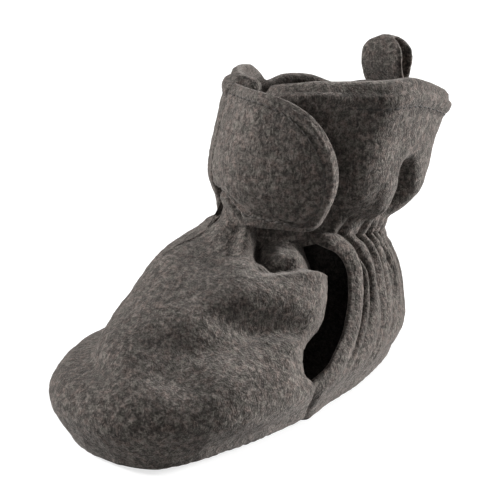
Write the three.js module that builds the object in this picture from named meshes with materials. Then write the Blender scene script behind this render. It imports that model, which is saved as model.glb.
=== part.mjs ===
import * as THREE from 'three';

// A baby bootie for the left foot: a padded fleece slipper with a wrap-over collar that a strap closes.
// Millimetres, +Z up. The toe points along -Y, the foot's outer side is +X, and the grips stand on z = 0.

// Fabric layers of the upper, from the outside in.
const FLEECE = 2.0;
const CAVITY = 1.2;
const LINING = 1.4;
const GAP = 0.3;
const LINING_DEPTH = FLEECE + CAVITY;
const WALL = LINING_DEPTH + LINING;

// The stack under the foot, from the floor up.
const GRIP_HEIGHT = 0.7;
const SOLE_BOTTOM = GRIP_HEIGHT + GAP;
const SOLE_TOP = SOLE_BOTTOM + 2.2;
const PAD_TOP = SOLE_TOP + GAP + 4.0;
const SOCK_TOP = PAD_TOP + GAP + 1.0;
const PAD_INSET = 5.4;
const SOCK_INSET = 4.4;
const EDGE_Z = SOLE_TOP + GAP;

// The upper's shape from the sole edge (0) to the rim (1): its centre front and centre back lines as (y, z),
// and its half width with the sideways shift of its middle.
const FRONT = spline([
  [-58.05, EDGE_Z], [-65.55, 14.5], [-55.55, 26.5], [-41.55, 35], [-25.05, 42], [-9.05, 50.5],
  [-9.55, 61], [-8.05, 72.5], [-4.55, 85.5],
]);
const BACK = spline([
  [52.95, EDGE_Z], [55.45, 12], [55.45, 19], [53.95, 26], [50.95, 32], [45.45, 40],
  [52.95, 48.5], [58.95, 59], [63.45, 72.5],
]);
const GIRTH = spline([
  [26, -1], [33.2, -1], [30.6, -0.7], [27, -0.5], [23, 0], [20.5, 0],
  [25, 0.3], [28.3, 0.5], [30.2, 0.5],
]);
const TOE_WIDENING = 0.16;
const BLUNTNESS = { toe: 0.2, heel: 0.3 };
const ARCH = { inner: 0.15, outer: 0.03, middle: -0.1, spread: 0.4 };

// Heights of the seams along those lines, and angles round the upper from the toe towards the outer side.
const ANKLE_SEAM = 0.61;
const SEAM_GAP = 0.005;
const HEM_START = 0.96;
const QUARTER_EDGE = spline([78, 77, 86.5, 88.5, 85, 66].map((angle, step) => [step, angle]));
const CREASE = { narrow: 3, wide: 6 };
const COLLAR_START = 5;
const COLLAR_END = 330;
const UNDERLAP = { depth: 4.5, from: 75, to: 50 };

// The tongue closes the split between the collar's two ends, behind the strap.
const TONGUE = { from: -27.5, to: 3.2, top: 0.86, depth: 3.7 };

// The strap runs from its root on the inner side to a rounded tip on the outer side.
const STRAP_ROOT = -28.6;
const STRAP_TIP = 53.5;
const STRAP_TIP_HEIGHT = 0.745;
const STRAP_RISE = 0.24;
const STRAP_DROP = 0.117;
const STRAP_LIFT = 1.0;
const STRAP_FLEECE = 1.8;
const STRAP_LINING = 1.1;
const FASTENER = 0.6;
const PATCH = { from: 16, to: 44, low: 0.68, high: 0.86 };

// The pull loop: a ribbon folded into a teardrop, standing on the rim at the back.
const LOOP_WIDTH = 14;
const LOOP_RIBBON = 1.7;
const LOOP_HOLE = 5.2;
const LOOP_BASE_RADIUS = 1.9;
const LOOP_HEIGHT = 15.5;
const LOOP_TAPER = 5;
const LOOP_OFFSET_X = -1.5;
const LOOP_CLEARANCE = 0.9;

// Zigzag grips printed under the sole.
const ZIGZAG = { step: 3.7, swing: 2.0, width: 1.8 };
const BALL_GRIPS = { y: -47, spacing: 9.2, segments: [8, 10, 10, 8] };
const HEEL_GRIPS = { y: 22, spacing: 9.2, segments: [6, 6, 6] };

const degrees = THREE.MathUtils.degToRad;
const { lerp, smoothstep } = THREE.MathUtils;

function spline(pairs) {
  return new THREE.SplineCurve(pairs.map(([a, b]) => new THREE.Vector2(a, b)));
}

// A point of the upper's outer surface at an angle (degrees from the toe) and a height (0 to 1).
function surfacePoint(angle, height) {
  const front = FRONT.getPoint(height);
  const back = BACK.getPoint(height);
  const girth = GIRTH.getPoint(height);
  const low = Math.max(0, 1 - 2 * height);
  const sine = Math.sin(degrees(angle));
  const cosine = Math.cos(degrees(angle));
  const waist = sine < 0 ? ARCH.inner : ARCH.outer;
  const arch = waist * Math.exp(-(((cosine - ARCH.middle) / ARCH.spread) ** 2));
  const reach = girth.x * (1 + TOE_WIDENING * low * cosine) * (1 - low * arch);
  const bluntness = cosine > 0 ? BLUNTNESS.toe : BLUNTNESS.heel;
  const side = Math.sign(sine) * Math.abs(sine) ** (1 - bluntness * low);
  const along = (1 + cosine) / 2;
  return new THREE.Vector3(
    reach * side + girth.y,
    lerp(back.x, front.x, along),
    lerp(back.y, front.y, along),
  );
}

// The same point moved along the surface's outward normal.
function offsetPoint(angle, height, offset) {
  const turn = 0.5;
  const rise = 0.004;
  const low = Math.max(0, height - rise);
  const high = Math.min(1, height + rise);
  const across = surfacePoint(angle + turn, height).sub(surfacePoint(angle - turn, height));
  const up = surfacePoint(angle, high).sub(surfacePoint(angle, low));
  const normal = across.cross(up).normalize();
  return surfacePoint(angle, height).addScaledVector(normal, offset);
}

// A curved sheet with thickness: place(u, v) gives an angle and a height, layer(angle, height) the offsets
// of its outer and inner faces.
function sheet(columns, rows, place, layer) {
  const positions = [];
  for (const face of [0, 1]) {
    for (let j = 0; j <= rows; j += 1) {
      for (let i = 0; i <= columns; i += 1) {
        const [angle, height] = place(i / columns, j / rows);
        positions.push(...offsetPoint(angle, height, layer(angle, height)[face]));
      }
    }
  }
  const at = (i, j) => j * (columns + 1) + i;
  const faceSize = at(0, rows + 1);
  const index = [];
  for (let j = 0; j < rows; j += 1) {
    for (let i = 0; i < columns; i += 1) {
      const [a, b, c, d] = [at(i, j), at(i + 1, j), at(i + 1, j + 1), at(i, j + 1)];
      index.push(a, b, c, a, c, d);
      for (const corner of [c, b, a, d, c, a]) {
        index.push(corner + faceSize);
      }
    }
  }
  const edge = [];
  for (let i = 0; i < columns; i += 1) edge.push(at(i, 0));
  for (let j = 0; j < rows; j += 1) edge.push(at(columns, j));
  for (let i = columns; i > 0; i -= 1) edge.push(at(i, rows));
  for (let j = rows; j > 0; j -= 1) edge.push(at(0, j));
  edge.forEach((a, k) => {
    const b = edge[(k + 1) % edge.length];
    index.push(b, a, a + faceSize, b, a + faceSize, b + faceSize);
  });
  const geometry = new THREE.BufferGeometry();
  geometry.setAttribute('position', new THREE.Float32BufferAttribute(positions, 3));
  geometry.setIndex(index);
  geometry.computeVertexNormals();
  return geometry;
}

// A layer of even thickness: its outer face lies at a depth below the surface.
const layerAt = (depth, thickness) => () => [-depth, -depth - thickness];

// The outline of the sole edge, moved inwards.
function footprint(inset, steps = 36) {
  const outline = [];
  for (let k = 0; k < steps; k += 1) {
    const angle = (360 * k) / steps;
    const point = surfacePoint(angle, 0);
    const tangent = surfacePoint(angle + 1, 0).sub(surfacePoint(angle - 1, 0)).normalize();
    outline.push(new THREE.Vector2(point.x - inset * tangent.y, point.y + inset * tangent.x));
  }
  return new THREE.Shape(outline);
}

// A plate over the footprint with rounded edges, between two heights.
function plate(inset, bottom, top, rounding) {
  const geometry = new THREE.ExtrudeGeometry(footprint(inset + rounding), {
    depth: top - bottom - 2 * rounding,
    bevelEnabled: true,
    bevelThickness: rounding,
    bevelSize: rounding,
    bevelSegments: 2,
  });
  geometry.translate(0, 0, bottom + rounding);
  return geometry;
}

// One printed zigzag line across the sole.
function zigzag(segments) {
  const { step, swing, width } = ZIGZAG;
  const thick = (width / 2) * Math.hypot(1, (2 * swing) / step);
  const middle = [];
  for (let k = 0; k <= segments; k += 1) {
    middle.push(new THREE.Vector2((k - segments / 2) * step, k % 2 ? swing : -swing));
  }
  const ahead = middle.map((p) => new THREE.Vector2(p.x, p.y - thick));
  const behind = middle.map((p) => new THREE.Vector2(p.x, p.y + thick)).reverse();
  const shape = new THREE.Shape([...ahead, ...behind]);
  return new THREE.ExtrudeGeometry(shape, { depth: GRIP_HEIGHT, bevelEnabled: false });
}

// Where the quarter's front edge and the vamp's rear edge run, in degrees from the toe.
function quarterEdge(height) {
  return QUARTER_EDGE.getPoint(Math.min(height / ANKLE_SEAM, 1)).y;
}

function vampEdge(height) {
  const bow = Math.sin((Math.PI * Math.min(height, ANKLE_SEAM)) / ANKLE_SEAM);
  return quarterEdge(height) - CREASE.narrow - CREASE.wide * bow;
}

const FOOT_TOP = ANKLE_SEAM - SEAM_GAP;
const COLLAR_BOTTOM = ANKLE_SEAM + SEAM_GAP;

function vampPlace(u, v) {
  const height = FOOT_TOP * v;
  return [lerp(-1, 1, u) * vampEdge(height), height];
}

function heelPlace(u, v) {
  const height = FOOT_TOP * v;
  const edge = quarterEdge(height);
  return [lerp(edge, 360 - edge, u), height];
}

// The linings run on past the crease and meet under the quarter.
const LINING_EDGE = 92;
const LINING_SPLIT = 0.7;

function vampLiningPlace(u, v) {
  return [lerp(-1, 1, u) * (LINING_EDGE - LINING_SPLIT), FOOT_TOP * v];
}

function heelLiningPlace(u, v) {
  return [lerp(LINING_EDGE, 360 - LINING_EDGE, u), FOOT_TOP * v];
}

// The collar's outer end sinks under the strap.
function underlap(angle) {
  return UNDERLAP.depth * (1 - smoothstep(angle, UNDERLAP.to, UNDERLAP.from));
}

const collarPlace = (low, high) => (u, v) => [lerp(COLLAR_START, COLLAR_END, u), lerp(low, high, v)];

const collarLayer = (depth, thickness) => (angle) => {
  const outer = -depth - underlap(angle);
  return [outer, outer - thickness];
};

// The folded hem over the collar's top edge, rounded towards the rim.
function hemLayer(angle, height) {
  const rounding = 1.1 * smoothstep(height, 1 - (1 - HEM_START) / 2, 1);
  const outer = GAP - underlap(angle);
  return [outer - rounding, outer - WALL - GAP + rounding];
}

// The strap's outline: a large round corner above its tip and a tight one below.
function strapEdges(angle, inset) {
  const reach = Math.min(1, (angle - STRAP_ROOT) / (STRAP_TIP - STRAP_ROOT));
  const upper = STRAP_TIP_HEIGHT + STRAP_RISE * Math.sqrt(1 - reach ** 4);
  const lower = STRAP_TIP_HEIGHT - STRAP_DROP * Math.sqrt(1 - reach ** 24);
  const rootRise = 0.07 * (1 - smoothstep(angle, -20, 12));
  return [lower + rootRise + inset, upper - inset];
}

function strapPlace(tipInset, edgeInset) {
  const fullReach = 0.986;
  return (u, v) => {
    const reach = fullReach * Math.sin((u * Math.PI) / 2);
    const angle = lerp(STRAP_ROOT, STRAP_TIP - tipInset, reach);
    const edges = strapEdges(angle, edgeInset);
    return [angle, lerp(edges[0], edges[1], v)];
  };
}

function strapLayer(depth, thickness) {
  return (angle) => {
    const outer = STRAP_LIFT * smoothstep(angle, STRAP_ROOT, COLLAR_START) - depth;
    return [outer, outer - thickness];
  };
}

const patchPlace = (u, v) => [lerp(PATCH.from, PATCH.to, u), lerp(PATCH.low, PATCH.high, v)];

const loopPatchLayer = (angle) => {
  const inner = GAP - underlap(angle);
  return [inner + FASTENER, inner];
};

// A teardrop ribbon seen from the side, extruded to its width; its round base is centred on the fold line.
function pullLoopGeometry() {
  const radius = LOOP_HOLE / 2 + LOOP_RIBBON;
  const holeRadius = LOOP_HOLE / 2;
  const topCentre = LOOP_HEIGHT - radius;
  const holeFoot = LOOP_BASE_RADIUS + 0.6;
  const shape = new THREE.Shape();
  shape.absarc(0, 0, LOOP_BASE_RADIUS, Math.PI, 2 * Math.PI, false);
  shape.lineTo(radius, LOOP_TAPER);
  shape.absarc(0, topCentre, radius, 0, Math.PI, false);
  shape.lineTo(-radius, LOOP_TAPER);
  shape.closePath();
  const hole = new THREE.Path();
  hole.moveTo(0, holeFoot);
  hole.lineTo(-holeRadius, LOOP_TAPER + 0.7);
  hole.absarc(0, topCentre, holeRadius, Math.PI, 0, true);
  hole.lineTo(holeRadius, LOOP_TAPER + 0.7);
  hole.closePath();
  shape.holes.push(hole);
  const geometry = new THREE.ExtrudeGeometry(shape, {
    depth: LOOP_WIDTH,
    bevelEnabled: false,
    curveSegments: 7,
  });
  geometry.translate(0, 0, -LOOP_WIDTH / 2);
  geometry.rotateX(Math.PI / 2);
  geometry.rotateZ(Math.PI / 2);
  return geometry;
}

const COLOURS = {
  fleece: 0x514b48,
  lining: 0x6a635e,
  sole: 0x37332f,
  grip: 0xc8b9b2,
  foam: 0xd8d2c4,
  elastic: 0x8a8682,
  fastener: 0x4a4642,
};

function part(name, geometry, finish, roughness = 0.95) {
  const material = new THREE.MeshStandardMaterial({ color: COLOURS[finish], roughness, metalness: 0 });
  const mesh = new THREE.Mesh(geometry, material);
  mesh.name = name;
  return mesh;
}

function soleUnit() {
  const unit = new THREE.Group();
  unit.add(part('outer_sole', plate(0, SOLE_BOTTOM, SOLE_TOP, 0.5), 'sole'));
  unit.add(part('insole_pad', plate(PAD_INSET, EDGE_Z, PAD_TOP, 0.8), 'foam'));
  unit.add(part('insole_sock', plate(SOCK_INSET, PAD_TOP + GAP, SOCK_TOP, 0.25), 'lining'));
  return unit;
}

function gripSet(prefix, { y, spacing, segments }) {
  const set = new THREE.Group();
  segments.forEach((count, row) => {
    const grip = part(`${prefix}_${row + 1}`, zigzag(count), 'grip', 0.6);
    grip.position.set(GIRTH.getPoint(0).y, y + row * spacing, 0);
    set.add(grip);
  });
  return set;
}

function foot() {
  const upper = new THREE.Group();
  const elasticPlace = (u, v) => [lerp(72, 288, u), lerp(0.56, 0.59, v)];
  const tonguePlace = (u, v) => [lerp(TONGUE.from, TONGUE.to, u), lerp(COLLAR_BOTTOM, TONGUE.top, v)];
  upper.add(part('vamp_shell', sheet(26, 15, vampPlace, layerAt(0, FLEECE)), 'fleece'));
  upper.add(part('vamp_lining', sheet(20, 13, vampLiningPlace, layerAt(LINING_DEPTH, LINING)), 'lining'));
  upper.add(part('tongue', sheet(6, 6, tonguePlace, layerAt(TONGUE.depth, FLEECE)), 'fleece'));
  upper.add(part('heel_shell', sheet(20, 13, heelPlace, layerAt(-0.4, FLEECE)), 'fleece'));
  upper.add(part('heel_lining', sheet(20, 13, heelLiningPlace, layerAt(LINING_DEPTH, LINING)), 'lining'));
  upper.add(part('ankle_elastic', sheet(24, 2, elasticPlace, layerAt(FLEECE + GAP, 0.5)), 'elastic', 0.8));
  return upper;
}

function collar() {
  const band = new THREE.Group();
  const wall = collarPlace(COLLAR_BOTTOM, HEM_START - SEAM_GAP);
  const hem = collarPlace(HEM_START, 1);
  const tailPlace = (u, v) => [lerp(174, 188, u), lerp(0.88, HEM_START - SEAM_GAP, v)];
  band.add(part('collar_shell', sheet(32, 7, wall, collarLayer(0, FLEECE)), 'fleece'));
  band.add(part('collar_lining', sheet(32, 7, wall, collarLayer(LINING_DEPTH, LINING)), 'lining'));
  band.add(part('collar_hem', sheet(32, 3, hem, hemLayer), 'fleece'));
  band.add(part('loop_patch', sheet(5, 4, patchPlace, loopPatchLayer), 'fastener'));
  band.add(part('loop_tails', sheet(3, 1, tailPlace, layerAt(FLEECE + GAP, 0.5)), 'fleece'));
  return band;
}

function strap() {
  const flap = new THREE.Group();
  const liningDepth = STRAP_FLEECE + GAP;
  const hookDepth = liningDepth + STRAP_LINING + GAP;
  const shell = sheet(16, 9, strapPlace(0, 0), strapLayer(0, STRAP_FLEECE));
  const lining = sheet(16, 9, strapPlace(2, 0.01), strapLayer(liningDepth, STRAP_LINING));
  flap.add(part('strap_shell', shell, 'fleece'));
  flap.add(part('strap_lining', lining, 'lining'));
  flap.add(part('hook_patch', sheet(5, 4, patchPlace, strapLayer(hookDepth, FASTENER)), 'fastener'));
  return flap;
}

function pullLoop() {
  const rim = offsetPoint(180, 1, -WALL / 2);
  const loop = part('pull_loop', pullLoopGeometry(), 'fleece');
  loop.position.set(LOOP_OFFSET_X, rim.y, rim.z + LOOP_BASE_RADIUS + LOOP_CLEARANCE);
  return loop;
}

const bootie = new THREE.Group();
bootie.add(soleUnit());
bootie.add(gripSet('grip_ball', BALL_GRIPS));
bootie.add(gripSet('grip_heel', HEEL_GRIPS));
bootie.add(foot());
bootie.add(collar());
bootie.add(strap());
bootie.add(pullLoop());

export default bootie;
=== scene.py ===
"""A baby bootie in heather fleece: a padded slipper whose wrap-over collar closes with a strap.

Shapes are worked out in millimetres in the part's own frame (+Z up, the toe along -Y, the foot's outer side +X)
and turned into metres where a mesh is made. Angles go round the upper from the toe towards the outer side, in
degrees. Heights run from 0 at the sole edge to 1 at the rim.
"""

import itertools
import logging
import math
from collections.abc import Callable, Sequence
from dataclasses import dataclass
from enum import Enum

import bpy
import numpy as np
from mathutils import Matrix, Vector
from mathutils.kdtree import KDTree


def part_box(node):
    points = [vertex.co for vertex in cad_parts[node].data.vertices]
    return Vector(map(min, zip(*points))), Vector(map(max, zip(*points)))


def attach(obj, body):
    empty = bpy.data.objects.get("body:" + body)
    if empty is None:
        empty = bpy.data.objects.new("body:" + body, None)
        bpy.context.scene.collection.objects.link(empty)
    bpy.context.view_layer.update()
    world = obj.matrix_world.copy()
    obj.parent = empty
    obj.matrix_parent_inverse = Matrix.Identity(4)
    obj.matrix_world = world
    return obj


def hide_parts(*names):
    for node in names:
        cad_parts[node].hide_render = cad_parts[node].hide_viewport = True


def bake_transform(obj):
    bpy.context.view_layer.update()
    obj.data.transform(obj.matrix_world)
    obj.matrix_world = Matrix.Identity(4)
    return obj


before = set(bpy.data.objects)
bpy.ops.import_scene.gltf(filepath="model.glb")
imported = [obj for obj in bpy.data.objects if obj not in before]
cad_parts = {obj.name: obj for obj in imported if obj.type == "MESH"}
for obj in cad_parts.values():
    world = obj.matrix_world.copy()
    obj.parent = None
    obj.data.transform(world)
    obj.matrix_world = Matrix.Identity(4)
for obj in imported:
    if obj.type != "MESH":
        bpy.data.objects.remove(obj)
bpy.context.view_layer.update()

log = logging.getLogger("bootie")

MM = 0.001
COARSE = 4

Array = np.ndarray
Field = Callable[[Array, Array, Array], Array]
Triple = tuple[float, float, float]
Placing = Callable[[Array, Array], tuple[Array, Array]]


class Body(str, Enum):
    """The bodies that pieces ride on."""

    SHOE = "shoe"
    STRAP = "strap"
    LOOP = "loop"


class Slot(str, Enum):
    """The record's material slots."""

    FLEECE = "fleece"
    LINING = "lining"
    SOLE = "sole_fabric"
    GRIP = "grip_print"
    FOAM = "foam"
    ELASTIC = "elastic"
    FASTENER = "fastener"


# ---------------------------------------------------------------- numbers


def smoothstep(value: Array | float, low: float, high: float) -> Array:
    """Rises smoothly from 0 at low to 1 at high.

    Args:
        value: Where to evaluate.
        low: Start of the rise.
        high: End of the rise; it may be below low, for a fall.

    Returns:
        The share, from 0 to 1.
    """
    share = np.clip((np.asarray(value, float) - low) / (high - low), 0.0, 1.0)
    return share * share * (3.0 - 2.0 * share)


def bell(value: Array | float, middle: float, spread: float) -> Array:
    """A bump of height 1 round middle, about spread wide each way."""
    return np.exp(-(((np.asarray(value, float) - middle) / spread) ** 2))


def unit(vectors: Array) -> Array:
    """The vectors at length 1."""
    return vectors / np.maximum(np.linalg.norm(vectors, axis=-1, keepdims=True), 1e-9)


def lumps(points: Array, size: float, seed: int) -> Array:
    """Smooth three-dimensional noise, the same at each run.

    Args:
        points: Positions in mm, with three numbers on the last axis.
        size: Width of one lump in mm.
        seed: Which noise.

    Returns:
        Values from about -1 to 1.
    """
    spot = points / size
    base = np.floor(spot).astype(np.int64)
    part = spot - base
    ease = part * part * (3.0 - 2.0 * part)
    total = np.zeros(points.shape[:-1])
    for corner in itertools.product((0, 1), repeat=3):
        cell = base + np.array(corner)
        key = cell[..., 0] * 73856093 ^ cell[..., 1] * 19349663 ^ cell[..., 2] * 83492791 ^ (seed * 2654435761)
        key = (key ^ (key >> 13)) * 1274126177 & 0xFFFFFFFF
        key = (key ^ (key >> 16)) & 0xFFFF
        weight = np.prod(np.where(np.array(corner) == 1, ease, 1.0 - ease), axis=-1)
        total += weight * (key / 32767.5 - 1.0)
    return total


def reach_from(points: Array, line: Array) -> Array:
    """Distance from each point to the nearest point of a line.

    Args:
        points: Positions in mm.
        line: Closely spaced positions along the line, in mm.

    Returns:
        Distances in mm, in the shape of points without its last axis.
    """
    tree = KDTree(len(line))
    for index, spot in enumerate(line):
        tree.insert(spot, index)
    tree.balance()
    flat = points.reshape(-1, 3)
    return np.array([tree.find(spot)[2] for spot in flat]).reshape(points.shape[:-1])


@dataclass(frozen=True)
class Track:
    """A smooth line through knots at even steps."""

    knots: tuple[tuple[float, ...], ...]

    def at(self, share: Array) -> Array:
        """The line's values.

        Args:
            share: How far along, from 0 to 1.

        Returns:
            An array with the knots' numbers on its last axis.
        """
        knots = np.asarray(self.knots, float)
        last = len(knots) - 1
        spot = np.clip(np.asarray(share, float), 0.0, 1.0) * last
        cell = np.clip(np.floor(spot).astype(int), 0, last - 1)
        part = (spot - cell)[..., None]
        before, start, end, after = (knots[np.clip(cell + step, 0, last)] for step in (-1, 0, 1, 2))
        leave, arrive = (end - before) / 2, (after - start) / 2
        cubic = 2 * start - 2 * end + leave + arrive
        square = -3 * start + 3 * end - 2 * leave - arrive
        return cubic * part**3 + square * part**2 + leave * part + start


def single(*knots: float) -> Track:
    """A track of plain numbers."""
    return Track(tuple((knot,) for knot in knots))


# ---------------------------------------------------------------- the drafted surface


@dataclass(frozen=True)
class Upper:
    """The upper's drafted outer surface.

    Attributes:
        front: Centre front line as (y, z).
        back: Centre back line as (y, z).
        girth: Half width and the sideways shift of its middle.
        widening: Extra width towards the toe.
        toe_blunt: How square the toe is.
        heel_blunt: How square the heel is.
    """

    front: Track = Track(
        (
            (-58.05, 3.5), (-65.55, 14.5), (-55.55, 26.5), (-41.55, 35.0), (-25.05, 42.0), (-9.05, 50.5),
            (-9.55, 61.0), (-8.05, 72.5), (-4.55, 85.5),
        )
    )
    back: Track = Track(
        (
            (52.95, 3.5), (55.45, 12.0), (55.45, 19.0), (53.95, 26.0), (50.95, 32.0), (45.45, 40.0),
            (52.95, 48.5), (58.95, 59.0), (63.45, 72.5),
        )
    )
    girth: Track = Track(
        (
            (26.0, -1.0), (33.2, -1.0), (30.6, -0.7), (27.0, -0.5), (23.0, 0.0), (20.5, 0.0),
            (25.0, 0.3), (28.3, 0.5), (30.2, 0.5),
        )
    )
    widening: float = 0.16
    toe_blunt: float = 0.2
    heel_blunt: float = 0.3

    def point(self, angle: Array, height: Array) -> Array:
        """Points of the surface.

        Args:
            angle: Degrees from the toe.
            height: Height from 0 to 1.

        Returns:
            Positions in mm.
        """
        angle, height = np.broadcast_arrays(np.asarray(angle, float), np.asarray(height, float))
        front, back, girth = self.front.at(height), self.back.at(height), self.girth.at(height)
        low = np.maximum(0.0, 1.0 - 2.0 * height)
        sine, cosine = np.sin(np.radians(angle)), np.cos(np.radians(angle))
        waist = np.where(sine < 0, 0.15, 0.03) * np.exp(-(((cosine + 0.1) / 0.4) ** 2))
        reach = girth[..., 0] * (1 + self.widening * low * cosine) * (1 - low * waist)
        blunt = np.where(cosine > 0, self.toe_blunt, self.heel_blunt)
        side = np.sign(sine) * np.abs(sine) ** (1 - blunt * low)
        along = ((1 + cosine) / 2)[..., None]
        middle = back + (front - back) * along
        return np.stack([reach * side + girth[..., 1], middle[..., 0], middle[..., 1]], axis=-1)

    def normal(self, angle: Array, height: Array) -> Array:
        """Outward directions, square to the surface."""
        turn, rise = 0.5, 0.004
        across = self.point(angle + turn, height) - self.point(angle - turn, height)
        above, below = np.minimum(height + rise, 1.0), np.maximum(height - rise, 0.0)
        return unit(np.cross(across, self.point(angle, above) - self.point(angle, below)))

    def place(self, angle: Array, height: Array, offset: Array | float) -> Array:
        """Points at a distance outside the surface, in mm."""
        lift = np.asarray(offset, float)[..., None]
        return self.point(angle, height) + self.normal(angle, height) * lift

    def line(self, knots: Sequence[tuple[float, float]], count: int = 60) -> tuple[Array, Array]:
        """A smooth line on the surface.

        Args:
            knots: (angle, height) at even steps along the line.
            count: How many points to give.

        Returns:
            The angles and the heights along it.
        """
        along = Track(tuple(knots)).at(np.linspace(0, 1, count))
        return along[:, 0], along[:, 1]


@dataclass(frozen=True)
class Fold:
    """A ridge or a groove that follows a line on the upper.

    Attributes:
        line: (angle, height) knots.
        rise: Height of the ridge in mm; below 0 it is a groove.
        spread: Its half width in mm.
        ends: Share of the line over which each end fades out.
    """

    line: tuple[tuple[float, float], ...]
    rise: float
    spread: float
    ends: float = 0.35

    def lift(self, upper: Upper, points: Array) -> Array:
        """How far the fold lifts each point.

        Args:
            upper: The drafted surface.
            points: Positions in mm.

        Returns:
            The lift in mm.
        """
        if len(self.line) == 1:
            spots, fade = upper.point(*np.array(self.line).T), np.ones(1)
        else:
            share = np.linspace(0, 1, 48)
            spots = upper.point(*upper.line(self.line, 48))
            fade = smoothstep(share, 0, self.ends) * smoothstep(1 - share, 0, self.ends)
        flat = points.reshape(-1, 3)
        best = np.zeros(len(flat))
        for spot, weight in zip(spots, fade):
            away = np.sum((flat - spot) ** 2, axis=1)
            best = np.maximum(best, weight * np.exp(-away / self.spread**2))
        return self.rise * best.reshape(points.shape[:-1])


def folded(folds: Sequence[Fold], upper: Upper, points: Array) -> Array:
    """The lift of several folds together, in mm."""
    return sum((fold.lift(upper, points) for fold in folds), np.zeros(points.shape[:-1]))


# ---------------------------------------------------------------- meshes


def make_object(name: str, vertices: Array, faces: Sequence[Sequence[int]]) -> bpy.types.Object:
    """A smooth-shaded piece.

    Args:
        name: The piece's name.
        vertices: Positions in mm.
        faces: Vertex indices of each face, counter-clockwise from outside.

    Returns:
        The new object, at the origin.
    """
    mesh = bpy.data.meshes.new(name)
    mesh.from_pydata((np.asarray(vertices, float) * MM).tolist(), [], list(faces))
    mesh.validate()
    mesh.polygons.foreach_set("use_smooth", [True] * len(mesh.polygons))
    mesh.update()
    piece = bpy.data.objects.new(name, mesh)
    bpy.context.scene.collection.objects.link(piece)
    return piece


def lattice_faces(columns: int, rows: int) -> list[tuple[int, ...]]:
    """Quads of a grid of (rows + 1) by (columns + 1) vertices, counter-clockwise."""
    wide = columns + 1
    return [
        (j * wide + i, j * wide + i + 1, (j + 1) * wide + i + 1, (j + 1) * wide + i)
        for j in range(rows)
        for i in range(columns)
    ]


def ring_faces(rings: int, around: int, first: int = 0, flipped: bool = False) -> list[tuple[int, ...]]:
    """Quads between closed rings of vertices.

    Args:
        rings: How many rings.
        around: Vertices in each.
        first: The first ring's first vertex.
        flipped: Whether the faces look the other way.

    Returns:
        The faces.
    """
    faces = []
    for start in range(first, first + (rings - 1) * around, around):
        for k in range(around):
            nxt = (k + 1) % around
            face = (start + k, start + around + k, start + around + nxt, start + nxt)
            faces.append((face[0], *face[:0:-1]) if flipped else face)
    return faces


def rim_order(columns: int, rows: int) -> list[int]:
    """The grid's border vertices, counter-clockwise."""
    wide = columns + 1
    return (
        [i for i in range(columns)]
        + [j * wide + columns for j in range(rows)]
        + [rows * wide + i for i in range(columns, 0, -1)]
        + [j * wide for j in range(rows, 0, -1)]
    )


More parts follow.
